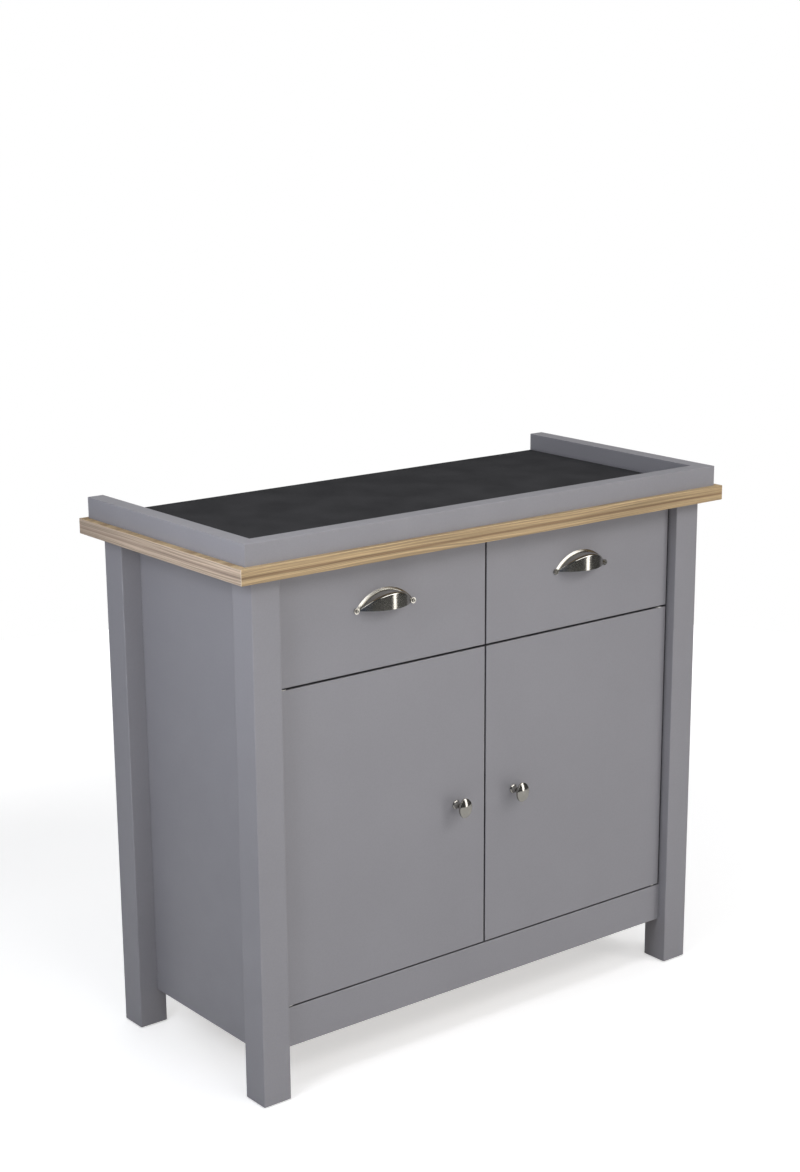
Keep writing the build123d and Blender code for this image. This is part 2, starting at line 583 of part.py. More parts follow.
# ---- Doors, knobs and pivots ----------------------------------------------------------------------------
for side_name, side in SIDES:
    door_x = (side * HALF_CENTRE_GAP, side * (INNER_X - SIDE_GAP))
    knob_seat = (side * KNOB_X, FRONT_FACE, KNOB_Z)
    with BuildPart() as door:
        slab(door_x, (FRONT_FACE, FRONT_BACK), (DOOR_BOTTOM, DOOR_TOP))
        fillet(door.faces().sort_by(Axis.Y)[0].edges(), FRONT_EDGE_RADIUS)
        holes([knob_seat], (0, 1, 0), KNOB_SCREW_RADIUS, BOARD)
        holes([(side * PIVOT_X, PIVOT_Y, DOOR_BOTTOM)], (0, 0, 1), BUSH_RADIUS, BUSH_DEPTH)
        holes([(side * PIVOT_X, PIVOT_Y, DOOR_TOP)], (0, 0, -1), BUSH_RADIUS, BUSH_DEPTH)
    save(door, f"door_{side_name}")

    # The oval head is taller than it is wide, and its crown is part of a sphere.
    knob_face = Plane(origin=knob_seat, x_dir=(1, 0, 0), z_dir=(0, -1, 0))
    crown_radius = (KNOB_HEAD_HALVES[1] ** 2 + KNOB_CROWN_RISE**2) / (2 * KNOB_CROWN_RISE)
    with BuildPart() as crown:
        with BuildSketch(knob_face.offset(KNOB_RIM)):
            Ellipse(*KNOB_HEAD_HALVES)
        extrude(amount=KNOB_LENGTH - KNOB_RIM)
        with Locations((knob_seat[0], FRONT_FACE - KNOB_LENGTH + crown_radius, KNOB_Z)):
            Sphere(crown_radius, mode=Mode.INTERSECT)
        fillet(crown.faces().filter_by(GeomType.SPHERE).edges(), KNOB_EDGE_RADIUS)

    # The foot and neck are turned, and the neck flares into the head.
    with BuildPart() as knob:
        with BuildSketch(Plane(origin=knob_seat, x_dir=(1, 0, 0), z_dir=(0, 0, -1))):
            with BuildLine():
                Polyline((0, KNOB_NECK), (0, 0), (KNOB_FOOT_RADIUS, 0), (KNOB_FOOT_RADIUS, KNOB_FOOT_RIM))
                Line((KNOB_FOOT_RADIUS, KNOB_FOOT_RIM), (KNOB_STEP_RADIUS, KNOB_STEP))
                waist = (KNOB_NECK_RADIUS, (KNOB_STEP + KNOB_NECK) / 2)
                Polyline((KNOB_STEP_RADIUS, KNOB_STEP), waist, (KNOB_NECK_RADIUS, KNOB_NECK), (0, KNOB_NECK))
            make_face()
        revolve(axis=Axis(knob_seat, (0, 1, 0)))
        with BuildSketch(knob_face.offset(KNOB_NECK)):
            Circle(KNOB_NECK_RADIUS)
        with BuildSketch(knob_face.offset(KNOB_FLARE)):
            Ellipse(*KNOB_FLARE_HALVES)
        with BuildSketch(knob_face.offset(KNOB_RIM)):
            Ellipse(*KNOB_HEAD_HALVES)
        loft()
        add(crown.part)
        holes([knob_seat], (0, -1, 0), KNOB_SCREW_RADIUS, KNOB_SOCKET)
    save(knob, f"door_knob_{side_name}")

    with BuildPart() as knob_screw:
        back_seat = (side * KNOB_X, FRONT_BACK, KNOB_Z)
        pan_screws(
            [back_seat],
            (0, 1, 0),
            (SCREW_HEAD_RADIUS, SCREW_HEAD_HEIGHT),
            (KNOB_SCREW_RADIUS, BOARD + KNOB_SOCKET),
        )
    save(knob_screw, f"knob_screw_{side_name}")

    with BuildPart() as bushes:
        for edge_z, inward in ((DOOR_BOTTOM, 1), (DOOR_TOP, -1)):
            mouth = (side * PIVOT_X, PIVOT_Y, edge_z)
            rods([mouth], (0, 0, inward), BUSH_RADIUS, BUSH_DEPTH)
            rods([mouth], (0, 0, -inward), BUSH_FLANGE_RADIUS, BUSH_FLANGE)
            flange_face = (side * PIVOT_X, PIVOT_Y, edge_z - inward * BUSH_FLANGE)
            holes([flange_face], (0, 0, inward), BUSH_BORE, BUSH_DEPTH + BUSH_FLANGE)
    save(bushes, f"pivot_bushes_{side_name}")

    with BuildPart() as strike:
        strike_x = (side * (CATCH_X - STRIKE_WIDTH / 2), side * (CATCH_X + STRIKE_WIDTH / 2))
        strike_z = (DOOR_TOP - 1.0 - STRIKE_HEIGHT, DOOR_TOP - 1.0)
        slab(strike_x, (FRONT_BACK, FRONT_BACK + STRIKE_THICKNESS), strike_z)
    save(strike, f"catch_strike_{side_name}")

with BuildPart() as pivot_plates:
    for _, side in SIDES:
        for plate_z, door_way in ((FLOOR_TOP, 1), (DECK_BOTTOM, -1)):
            plate_plane = Plane((side * PIVOT_X, 0, plate_z), x_dir=(1, 0, 0), z_dir=(0, 0, door_way))
            plate_centre_y = (PIVOT_Y + PIVOT_PLATE_BACK) / 2
            plate_length = PIVOT_PLATE_BACK - PIVOT_Y + PIVOT_PLATE_WIDTH
            with BuildSketch(plate_plane):
                with Locations((0, door_way * plate_centre_y)):
                    SlotOverall(plate_length, PIVOT_PLATE_WIDTH, rotation=90)
            extrude(amount=PIVOT_PLATE)
            pin_foot = (side * PIVOT_X, PIVOT_Y, plate_z)
            rods([pin_foot], (0, 0, door_way), PIVOT_RADIUS, PIVOT_PLATE + PIVOT_LENGTH)
            screw_mouths = [(side * PIVOT_X, y, plate_z) for y in PLATE_SCREW_Y]
            holes(screw_mouths, (0, 0, door_way), PLATE_SCREW_RADIUS, PIVOT_PLATE)
save(pivot_plates, "pivot_plates")

with BuildPart() as catches:
    for _, side in SIDES:
        catch_x = (side * (CATCH_X - CATCH_WIDTH / 2), side * (CATCH_X + CATCH_WIDTH / 2))
        catch_front = FRONT_BACK + STRIKE_THICKNESS + CATCH_GAP
        slab(catch_x, (catch_front, catch_front + CATCH_DEPTH), (DECK_BOTTOM - CATCH_HEIGHT, DECK_BOTTOM))
    fillet(catches.edges().filter_by(Axis.Z), CATCH_CORNER)
save(catches, "magnetic_catches")


# ---- Drawers --------------------------------------------------------------------------------------------
def runner_member(wall_x, side, depth, height, y_front):
    """A C-channel along the drawer: its web on wall_x, its flanges reaching towards side."""
    back_plane = Plane.XZ.offset(-(y_front + RUNNER_LENGTH))
    with BuildSketch(back_plane) as section:
        with Locations((wall_x + side * depth / 2, RUNNER_Z)):
            Rectangle(depth, height)
        with Locations((wall_x + side * (depth + RUNNER_STEEL) / 2, RUNNER_Z)):
            Rectangle(depth - RUNNER_STEEL, height - 2 * RUNNER_STEEL, mode=Mode.SUBTRACT)
    extrude(section.sketch, amount=RUNNER_LENGTH)


with BuildPart() as cabinet_members:
    for _, side in SIDES:
        runner_member(side * INNER_X, -side, *CABINET_MEMBER, RUNNER_FRONT)
        runner_member(side * HALF_PARTITION, side, *CABINET_MEMBER, RUNNER_FRONT)
save(cabinet_members, "runner_cabinet_members")

for side_name, side in SIDES:
    near = HALF_PARTITION + RUNNER_GAP
    far = INNER_X - RUNNER_GAP
    front_x = (side * HALF_CENTRE_GAP, side * (INNER_X - SIDE_GAP))
    tray_x = (near + DRAWER_BOARD - GROOVE_DEPTH, far - DRAWER_BOARD + GROOVE_DEPTH)
    groove_x = (side * (tray_x[0] - GROOVE_SLACK), side * (tray_x[1] + GROOVE_SLACK))
    groove_y = (FRONT_BACK - GROOVE_DEPTH, BOX_BACK)
    groove_z = (GROOVE_Z - GROOVE_SLACK, GROOVE_Z + TRAY_THICKNESS)
    pull_screw_seats = [
        (side * PULL_X + foot * LUG_X, FRONT_FACE - LUG_THICKNESS, PULL_BASE + LUG_Z) for foot in (-1, 1)
    ]
    pull_screw_mouths = [(x, FRONT_FACE, z) for x, _, z in pull_screw_seats]
    corner_levels = (BOX_BOTTOM + DRAWER_SCREW_INSETS[0], BOX_TOP - DRAWER_SCREW_INSETS[1])

    with BuildPart() as drawer_front:
        slab(front_x, (FRONT_FACE, FRONT_BACK), (DRAWER_BOTTOM, DRAWER_TOP))
        fillet(drawer_front.faces().sort_by(Axis.Y)[0].edges(), FRONT_EDGE_RADIUS)
        slab(groove_x, groove_y, groove_z, mode=Mode.SUBTRACT)
        holes(pull_screw_mouths, (0, 1, 0), PULL_SCREW_RADIUS, PULL_SCREW_LENGTH - LUG_THICKNESS)
    save(drawer_front, f"drawer_front_{side_name}")

    for board_name, inner_face, outward in (("inner", near, -1), ("outer", far, 1)):
        side_x = (side * inner_face, side * (inner_face - outward * DRAWER_BOARD))
        with BuildPart() as drawer_side:
            slab(side_x, (FRONT_BACK, BOX_BACK), (BOX_BOTTOM, BOX_TOP))
            slab(groove_x, groove_y, groove_z, mode=Mode.SUBTRACT)
            screw_starts = [(side * inner_face, BOX_BACK - DRAWER_BOARD / 2, z) for z in corner_levels]
            holes(screw_starts, (-side * outward, 0, 0), DRAWER_SCREW_RADIUS, DRAWER_BOARD)
        save(drawer_side, f"drawer_side_{board_name}_{side_name}")

    back_x = (side * (near + DRAWER_BOARD), side * (far - DRAWER_BOARD))
    with BuildPart() as drawer_back:
        slab(back_x, (BOX_BACK - DRAWER_BOARD, BOX_BACK), (GROOVE_Z + TRAY_THICKNESS, BOX_TOP))
        for end_x, inward in ((back_x[0], side), (back_x[1], -side)):
            ends = [(end_x, BOX_BACK - DRAWER_BOARD / 2, z) for z in corner_levels]
            holes(ends, (inward, 0, 0), DRAWER_SCREW_RADIUS, DRAWER_SCREW_LENGTH - DRAWER_BOARD)
    save(drawer_back, f"drawer_back_{side_name}")

    with BuildPart() as tray:
        slab(
            (side * tray_x[0], side * tray_x[1]),
            (FRONT_BACK - GROOVE_DEPTH + GROOVE_SLACK, BOX_BACK),
            (GROOVE_Z, GROOVE_Z + TRAY_THICKNESS),
        )
    save(tray, f"drawer_bottom_{side_name}")

    with BuildPart() as drawer_screws:
        for wall_x, inward in ((near, 1), (far, -1)):
            starts = [(side * wall_x, BOX_BACK - DRAWER_BOARD / 2, z) for z in corner_levels]
            pan_screws(
                starts,
                (-side * inward, 0, 0),
                (DRAWER_SCREW_HEAD_RADIUS, DRAWER_SCREW_HEAD_HEIGHT),
                (DRAWER_SCREW_RADIUS, DRAWER_SCREW_LENGTH),
            )
        pan_screws(
            pull_screw_seats,
            (0, -1, 0),
            (PULL_SCREW_HEAD_RADIUS, PULL_SCREW_HEAD_HEIGHT),
            (PULL_SCREW_RADIUS, PULL_SCREW_LENGTH),
        )
    save(drawer_screws, f"drawer_screws_{side_name}")

    pull_plane = Plane(origin=(side * PULL_X, FRONT_FACE, PULL_BASE), x_dir=(1, 0, 0), z_dir=(0, -1, 0))
    inner_half = SHELL_HALF - SHELL_TIP
    inner_rise = SHELL_RISE - SHELL_WALL
    outer_dome = cup_dome(side * PULL_X, SHELL_HALF, SHELL_RISE)
    hollow = cup_dome(side * PULL_X, inner_half, inner_rise)
    with BuildPart() as pull:
        with BuildSketch(pull_plane):
            with BuildLine():
                ThreePointArc((-FLANGE_HALF, 0), (0, FLANGE_RISE), (FLANGE_HALF, 0))
                Line((FLANGE_HALF, 0), (-FLANGE_HALF, 0))
            make_face()
        extrude(amount=FLANGE_THICKNESS, taper=FLANGE_BEVEL)
        add(outer_dome)
        add(hollow, mode=Mode.SUBTRACT)
        with BuildSketch(pull_plane):
            with Locations((-LUG_X, LUG_Z), (LUG_X, LUG_Z)):
                Circle(LUG_RADIUS)
        extrude(amount=LUG_THICKNESS)
        holes(pull_screw_seats, (0, 1, 0), PULL_SCREW_RADIUS, LUG_THICKNESS)
    save(pull, f"cup_pull_{side_name}")

    with BuildPart() as middle_members:
        runner_member(side * (INNER_X - MIDDLE_OFFSET), -side, *MIDDLE_MEMBER, RUNNER_FRONT)
        runner_member(side * (HALF_PARTITION + MIDDLE_OFFSET), side, *MIDDLE_MEMBER, RUNNER_FRONT)
    save(middle_members, f"runner_middle_members_{side_name}")

    with BuildPart() as drawer_members:
        runner_member(side * far, side, *DRAWER_MEMBER, RUNNER_FRONT)
        runner_member(side * near, -side, *DRAWER_MEMBER, RUNNER_FRONT)
    save(drawer_members, f"runner_drawer_members_{side_name}")
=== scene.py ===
"""Looks of the aquarium stand cabinet: materials, levelling mat, studio, lights and camera.

Everything is in metres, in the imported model's own frame: +X to the right of someone facing the doors,
-Y towards them, +Z up, with the floor at zero.
"""
import math

import bmesh
import bpy
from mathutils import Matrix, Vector, noise


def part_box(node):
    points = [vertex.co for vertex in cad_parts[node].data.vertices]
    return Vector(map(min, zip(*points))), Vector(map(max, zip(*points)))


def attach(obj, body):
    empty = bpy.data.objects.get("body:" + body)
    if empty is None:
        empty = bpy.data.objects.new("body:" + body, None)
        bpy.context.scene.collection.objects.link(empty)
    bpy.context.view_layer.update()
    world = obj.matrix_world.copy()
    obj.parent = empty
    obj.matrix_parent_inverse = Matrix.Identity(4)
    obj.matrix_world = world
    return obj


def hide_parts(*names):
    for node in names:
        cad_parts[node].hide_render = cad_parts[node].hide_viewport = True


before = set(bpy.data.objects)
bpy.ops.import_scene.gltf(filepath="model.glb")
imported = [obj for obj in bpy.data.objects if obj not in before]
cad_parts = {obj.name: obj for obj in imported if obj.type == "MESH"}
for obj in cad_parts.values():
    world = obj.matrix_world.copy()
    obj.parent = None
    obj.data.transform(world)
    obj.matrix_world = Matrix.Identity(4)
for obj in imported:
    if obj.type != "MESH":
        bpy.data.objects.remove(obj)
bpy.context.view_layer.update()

MM = 0.001
DRAWER_FACE_Y = -0.166  # outer face of the drawer fronts

# Camera: where it stands, how it is turned, and its lens on a 36 mm sensor.
CAMERA_PLACE = (-1.861, -2.357, 1.384)
CAMERA_YAW = math.radians(39.33)  # from +Y towards +X
CAMERA_PITCH = math.radians(15.6)  # below the horizon
CAMERA_LENS = 64.17
CAMERA_SHIFT = (-0.0427, 0.0546)

# Colours, as linear red, green and blue.
WHITE = (1.0, 1.0, 1.0)
BLACK = (0.0, 0.0, 0.0)
PAINT_GREY = (0.262, 0.257, 0.275)
CARCASS_GREY = (0.248, 0.244, 0.258)
RAW_FIBREBOARD = (0.33, 0.225, 0.145)
FIBREBOARD_SHADE = (0.24, 0.155, 0.095)
FIBREBOARD_FLECK = (0.12, 0.075, 0.045)
CHIPBOARD_DARK = (0.20, 0.13, 0.075)
CHIPBOARD_LIGHT = (0.50, 0.37, 0.235)
OAK_LIGHT = (0.56, 0.41, 0.225)
OAK_MID = (0.405, 0.288, 0.155)
OAK_DARK = (0.275, 0.172, 0.088)
# End bands: paler and greyer than the front band's colours, a painted sheen for the light they catch.
SIDE_BAND_LIGHT = (0.57, 0.455, 0.345)
SIDE_BAND_DARK = (0.335, 0.252, 0.196)
BAND_JOINT = (0.62, 0.52, 0.40)
NICKEL = (0.44, 0.425, 0.385)
ZINC = (0.62, 0.635, 0.66)
BEECH = (0.58, 0.41, 0.25)
NYLON = (0.72, 0.71, 0.66)
BLACK_PLASTIC = (0.02, 0.02, 0.022)
LACQUER_DARK = (0.012, 0.012, 0.013)
LACQUER_LIGHT = (0.022, 0.022, 0.024)
FOAM = (0.018, 0.018, 0.02)
FOAM_DUST = (0.045, 0.045, 0.048)

# Painted shade in the gaps between boards: how near the next board has to be, the openness where the
# paint is darkest and where it is plain again, and how much it darkens.
GAP_REACH = 12.0 * MM
GAP_OPENNESS = (0.16, 0.45)
GAP_SHADE = 0.75

# Paint on sharp edges, paler from rubbing and from a painted highlight: how far from the edge it is paler,
# and how much paler it gets.
PALE_EDGE_WIDTH = 1.6 * MM
EDGE_WEAR_AND_HIGHLIGHT = 0.20

# How blurred the reflections in the nickel are, from 0 for a mirror.
KNOB_HAZE = 0.05
PULL_HAZE = 0.10

# Levelling mat.
MAT_COLUMNS = 200
MAT_ROWS = 92
MAT_EDGE_RADIUS = 1.3 * MM
MAT_RIPPLE = 0.22 * MM
MAT_RIPPLE_SCALE = 9.0

# Studio.
FLOOR_RADIUS = 2.3
FLOOR_LIFT = 0.52  # how far the floor under the cabinet is lifted to white
LIGHTS_AIM = (0.0, 0.0, 0.45)
WORLD_FRONT = (0.08, 0.08, 0.08)
WORLD_BEHIND = (0.24, 0.24, 0.245)
WORLD_LEFT = (0.08, 0.10, 0.15)

# Streaks printed on the worktop's edge band: (height on the band, 0 for dark to 1 for light).
STREAKS = (
    (0.0, 0.80),
    (0.12, 0.50),
    (0.20, 0.95),
    (0.34, 0.80),
    (0.42, 0.12),
    (0.50, 0.0),
    (0.57, 0.55),
    (0.64, 0.95),
    (0.72, 0.40),
    (0.79, 0.90),
    (0.88, 0.60),
    (1.0, 1.0),
)


# ---------------------------------------------------------------- shader nodes


class Look:
    """One material. Each method adds a node to it and returns that node's output socket."""

    def __init__(self, name):
        self.material = bpy.data.materials.new(name)
        self.material.use_nodes = True
        self.tree = self.material.node_tree
        self.shader = self.tree.nodes["Principled BSDF"]
        self.coordinates = self.tree.nodes.new("ShaderNodeTexCoord")
        self.place = self.coordinates.outputs["Object"]
        self.facing = self.coordinates.outputs["Normal"]

    def feed(self, socket, value):
        if isinstance(value, bpy.types.NodeSocket):
            self.tree.links.new(value, socket)
        else:
            socket.default_value = value

    def finish(self, **sockets):
        """Feeds the shader's own sockets, named with _ for a space, and returns the material."""
        for name, value in sockets.items():
            if isinstance(value, tuple) and len(value) == 3:
                value = (*value, 1.0)
            self.feed(self.shader.inputs[name.replace("_", " ")], value)
        return self.material

    def math(self, operation, first, second=0.0, clamp=False):
        node = self.tree.nodes.new("ShaderNodeMath")
        node.operation = operation
        node.use_clamp = clamp
        self.feed(node.inputs[0], first)
        self.feed(node.inputs[1], second)
        return node.outputs[0]

    def stretched(self, vector, scale):
        """The vector with each axis multiplied. A small number stretches the pattern along its axis."""
        node = self.tree.nodes.new("ShaderNodeVectorMath")
        node.operation = "MULTIPLY"
        self.feed(node.inputs[0], vector)
        self.feed(node.inputs[1], scale)
        return node.outputs[0]

    def split(self, vector):
        node = self.tree.nodes.new("ShaderNodeSeparateXYZ")
        self.feed(node.inputs[0], vector)
        return node.outputs

    def joined(self, x, y, z):
        node = self.tree.nodes.new("ShaderNodeCombineXYZ")
        for socket, value in zip(node.inputs, (x, y, z)):
            self.feed(socket, value)
        return node.outputs[0]

    def noise(self, vector, scale=1.0, detail=2.0, roughness=0.5):
        node = self.tree.nodes.new("ShaderNodeTexNoise")
        self.feed(node.inputs["Vector"], vector)
        self.feed(node.inputs["Scale"], scale)
        self.feed(node.inputs["Detail"], detail)
        self.feed(node.inputs["Roughness"], roughness)
        return node.outputs["Fac"]

    def cells(self, vector, scale):
        node = self.tree.nodes.new("ShaderNodeTexVoronoi")
        self.feed(node.inputs["Vector"], vector)
        self.feed(node.inputs["Scale"], scale)
        return node.outputs["Distance"]

    def fitted(self, value, low, high, to_low=0.0, to_high=1.0):
        """The value's range from low to high, made to_low to to_high and held there."""
        node = self.tree.nodes.new("ShaderNodeMapRange")
        node.interpolation_type = "SMOOTHSTEP"
        for socket, number in zip(node.inputs, (value, low, high, to_low, to_high)):
            self.feed(socket, number)
        return node.outputs[0]

    def blend(self, factor, first, second, how="MIX"):
        node = self.tree.nodes.new("ShaderNodeMix")
        node.data_type = "RGBA"
        node.blend_type = how
        self.feed(node.inputs[0], factor)
        for socket, value in ((node.inputs[6], first), (node.inputs[7], second)):
            self.feed(socket, (*value, 1.0) if isinstance(value, tuple) else value)
        return node.outputs[2]

    def bands(self, factor, stops):
        """A colour ramp through (place, colour) stops."""
        node = self.tree.nodes.new("ShaderNodeValToRGB")
        self.feed(node.inputs[0], factor)
        elements = node.color_ramp.elements
        while len(elements) < len(stops):
            elements.new(0.5)
        for element, (place, colour) in zip(elements, stops):
            element.position = place
            element.color = (*colour, 1.0)
        return node.outputs[0]

    def bump(self, height, depth, normal=None):
        """A bump map as deep as depth, in metres, over any bump given as normal."""
        node = self.tree.nodes.new("ShaderNodeBump")
        self.feed(node.inputs["Height"], height)
        self.feed(node.inputs["Distance"], depth)
        if normal is not None:
            self.feed(node.inputs["Normal"], normal)
        return node.outputs[0]

    def edge(self, width):
        """1 along sharp outer edges, to this width, and 0 on flat faces."""
        rounded = self.tree.nodes.new("ShaderNodeBevel")
        rounded.samples = 4
        rounded.inputs["Radius"].default_value = width
        flat = self.tree.nodes.new("ShaderNodeNewGeometry").outputs["Normal"]
        node = self.tree.nodes.new("ShaderNodeVectorMath")
        node.operation = "DOT_PRODUCT"
        self.feed(node.inputs[0], rounded.outputs[0])
        self.feed(node.inputs[1], flat)
        return self.fitted(node.outputs["Value"], 0.985, 0.82)

    def openness(self, reach):
        """1 where nothing stands within reach, falling to 0 deep in narrow gaps."""
        node = self.tree.nodes.new("ShaderNodeAmbientOcclusion")
        node.samples = 4
        self.feed(node.inputs["Distance"], reach)
        return node.outputs["AO"]

    def faces(self, directions):
        """1 on faces that look in one of the directions, such as "-z", and 0 elsewhere."""
        parts = self.split(self.facing)
        total = 0.0
        for sign, axis in directions:
            part = parts["xyz".index(axis)]
            toward = self.math("MULTIPLY", part, 1.0 if sign == "+" else -1.0)
            total = self.math("ADD", self.fitted(toward, 0.6, 0.8), total, clamp=True)
        return total


# ---------------------------------------------------------------- materials


def mixed(first, second, share):
    """The colour this share of the way from first to second."""
    return tuple(a + (b - a) * share for a, b in zip(first, second))


def grey(look, value):
    """The value as all three parts of a colour."""
    return look.joined(value, value, value)


def fibreboard(look):
    """Bare fibreboard, as on a sawn edge: brown, with short fibres and a few dark flecks."""
    fibres = look.noise(look.place, 900.0, 4.0, 0.7)
    flecks = look.fitted(look.noise(look.place, 260.0, 2.0), 0.62, 0.72)
    tone = look.blend(fibres, FIBREBOARD_SHADE, RAW_FIBREBOARD)
    return look.blend(look.math("MULTIPLY", flecks, 0.5), tone, FIBREBOARD_FLECK)


def painted_board(name, colour=PAINT_GREY, raw=(), dull=0.40):
    """Sprayed satin lacquer on fibreboard: faint clouding, orange peel, and slightly rubbed edges
    made paler also by a painted highlight.

    It is bare fibreboard on the faces that look in the raw directions, and painted shade makes it
    darker inside narrow gaps.
    """
    look = Look(name)
    clouds = look.noise(look.place, 5.0, 3.0, 0.6)
    soft = look.fitted(clouds, 0.25, 0.75, 0.975, 1.025)
    specks = look.fitted(look.noise(look.place, 420.0, 2.0), 0.3, 0.7, 0.985, 1.015)
    tone = look.blend(1.0, colour, grey(look, look.math("MULTIPLY", soft, specks)), "MULTIPLY")
    # Sharp edges get paler: partly rubbing, partly a painted highlight.
    edge = look.edge(PALE_EDGE_WIDTH)
    patchiness = look.fitted(look.noise(look.place, 55.0, 3.0), 0.35, 0.75)
    wear_and_highlight = look.math("MULTIPLY", look.math("MULTIPLY", edge, patchiness), EDGE_WEAR_AND_HIGHLIGHT)
    tone = look.blend(wear_and_highlight, tone, tuple(min(1.0, 1.55 * c) for c in colour))
    # Painted shade: side, top and under faces are darkened towards black deep inside narrow gaps.
    painted_gap_shade = look.fitted(look.openness(GAP_REACH), *GAP_OPENNESS, GAP_SHADE, 0.0)
    painted_gap_shade = look.math("MULTIPLY", painted_gap_shade, look.faces(("-x", "+x", "-z", "+z")))
    tone = look.blend(painted_gap_shade, tone, BLACK)
    peel = look.noise(look.place, 520.0, 2.0, 0.45)
    swell = look.noise(look.place, 34.0, 1.0)
    normal = look.bump(swell, 0.05 * MM, look.bump(peel, 0.012 * MM))
    shine = look.fitted(look.noise(look.place, 22.0, 3.0), 0.3, 0.7, dull - 0.04, dull + 0.05)
    if raw:
        bare = look.faces(raw)
        tone = look.blend(bare, tone, fibreboard(look))
        shine = look.math("ADD", shine, look.math("MULTIPLY", bare, 0.4))
        fuzz = look.math("MULTIPLY", look.noise(look.place, 1100.0, 3.0, 0.7), bare)
        normal = look.bump(fuzz, 0.12 * MM, normal)
    return look.finish(Base_Color=tone, Roughness=shine, Normal=normal, IOR=1.5)


def melamine_board(name, raw=()):
    """Melamine-faced chipboard: flat grey with a fine pressed pearl texture, and its core on raw faces."""
    look = Look(name)
    pearl = look.cells(look.place, 760.0)
    drift = look.fitted(look.noise(look.place, 9.0, 3.0), 0.3, 0.7, 0.97, 1.03)
    grain = look.fitted(pearl, 0.1, 0.6, 0.985, 1.01)
    tone = look.blend(1.0, CARCASS_GREY, grey(look, look.math("MULTIPLY", drift, grain)), "MULTIPLY")
    shine = look.fitted(look.noise(look.place, 60.0, 2.0), 0.3, 0.7, 0.46, 0.54)
    normal = look.bump(pearl, 0.03 * MM)
    if raw:
        bare = look.faces(raw)
        chips = look.cells(look.stretched(look.place, (300.0, 300.0, 700.0)), 1.0)
        core = look.blend(look.fitted(chips, 0.1, 0.7), CHIPBOARD_DARK, CHIPBOARD_LIGHT)
        tone = look.blend(bare, tone, core)
        shine = look.math("ADD", shine, look.math("MULTIPLY", bare, 0.35))
        normal = look.bump(look.math("MULTIPLY", chips, bare), 0.25 * MM, normal)
    return look.finish(Base_Color=tone, Roughness=shine, Normal=normal, IOR=1.5)


def oak_worktop(node):
    """Oak-effect foil, grain along each face's length, with its edge bands printed in level streaks."""
    low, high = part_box(node)
    look = Look("oak_effect")
    x, y, z = look.split(look.place)
    end = look.faces(("-x", "+x"))
    rim = look.faces(("-x", "+x", "-y", "+y"))
    not_end = look.math("SUBTRACT", 1.0, end)
    along = look.math("ADD", look.math("MULTIPLY", x, not_end), look.math("MULTIPLY", y, end))
    upright = look.math("MULTIPLY", z, 1.7)
    across = look.math("MULTIPLY", look.math("ADD", y, upright), not_end)
    across = look.math("ADD", across, look.math("MULTIPLY", upright, end))
    grain = look.joined(along, across, 0.0)

    # Flat faces: wandering broad figure, then finer growth lines.
    wander = look.math("MULTIPLY", look.noise(look.stretched(grain, (2.2, 9.0, 1.0)), 1.0, 2.0), 0.05)
    bent = look.joined(along, look.math("ADD", across, wander), 0.0)
    figure = look.noise(look.stretched(bent, (0.9, 42.0, 1.0)), 1.0, 5.0, 0.62)
    flat_tone = look.bands(figure, [(0.30, OAK_DARK), (0.46, OAK_MID), (0.60, OAK_LIGHT)])

    # Edge bands: level streaks, the same all round, drifting a little in height. The end bands take paler,
    # greyer colours, a painted sheen for the light they catch.
    height = look.math("DIVIDE", look.math("SUBTRACT", z, low.z), high.z - low.z)
    drift = look.math("SUBTRACT", look.noise(look.stretched(grain, (3.0, 0.0, 1.0)), 1.0, 2.0), 0.5)
    level = look.math("ADD", height, look.math("MULTIPLY", drift, 0.16))
    front_stops = [(p, mixed(OAK_DARK, OAK_LIGHT, t)) for p, t in STREAKS]
    side_stops_with_sheen = [(p, mixed(SIDE_BAND_DARK, SIDE_BAND_LIGHT, t)) for p, t in STREAKS]
    band_tone = look.blend(end, look.bands(level, front_stops), look.bands(level, side_stops_with_sheen))
    tone = look.blend(rim, flat_tone, band_tone)

    # Fine fibres and short dark pores over all of it.
    fibres = look.noise(look.stretched(grain, (14.0, 900.0, 1.0)), 1.0, 3.0, 0.6)
    tone = look.blend(1.0, tone, grey(look, look.fitted(fibres, 0.25, 0.75, 0.86, 1.10)), "MULTIPLY")
    strands = look.noise(look.stretched(bent, (2.6, 430.0, 1.0)), 1.0, 3.0, 0.55)
    tone = look.blend(1.0, tone, grey(look, look.fitted(strands, 0.36, 0.60, 0.60, 1.08)), "MULTIPLY")
    pores = look.fitted(look.noise(look.stretched(grain, (60.0, 1500.0, 1.0)), 1.0, 1.0), 0.60, 0.70)
    tone = look.blend(look.math("MULTIPLY", pores, 0.30), tone, OAK_DARK)

    # The front band's own thickness shows as a pale line on the end band.
    joint = look.fitted(look.math("SUBTRACT", y, low.y), 1.0 * MM, 1.6 * MM, 1.0, 0.0)
    tone = look.blend(look.math("MULTIPLY", look.math("MULTIPLY", joint, end), 0.8), tone, BAND_JOINT)
    relief = look.math("SUBTRACT", fibres, pores)
    shine = look.fitted(fibres, 0.3, 0.7, 0.44, 0.56)
    return look.finish(Base_Color=tone, Roughness=shine, Normal=look.bump(relief, 0.03 * MM), IOR=1.5)


def solid_timber(name, colour, along):
    """Turned or sawn timber with straight grain along one axis."""
    look = Look(name)
    scale = tuple(12.0 if axis == along else 420.0 for axis in "xyz")
    lines = look.noise(look.stretched(look.place, scale), 1.0, 4.0, 0.6)
    tone = look.blend(look.fitted(lines, 0.3, 0.7), tuple(0.68 * c for c in colour), colour)
    normal = look.bump(lines, 0.06 * MM)
    return look.finish(Base_Color=tone, Roughness=look.fitted(lines, 0.3, 0.7, 0.55, 0.7), Normal=normal)


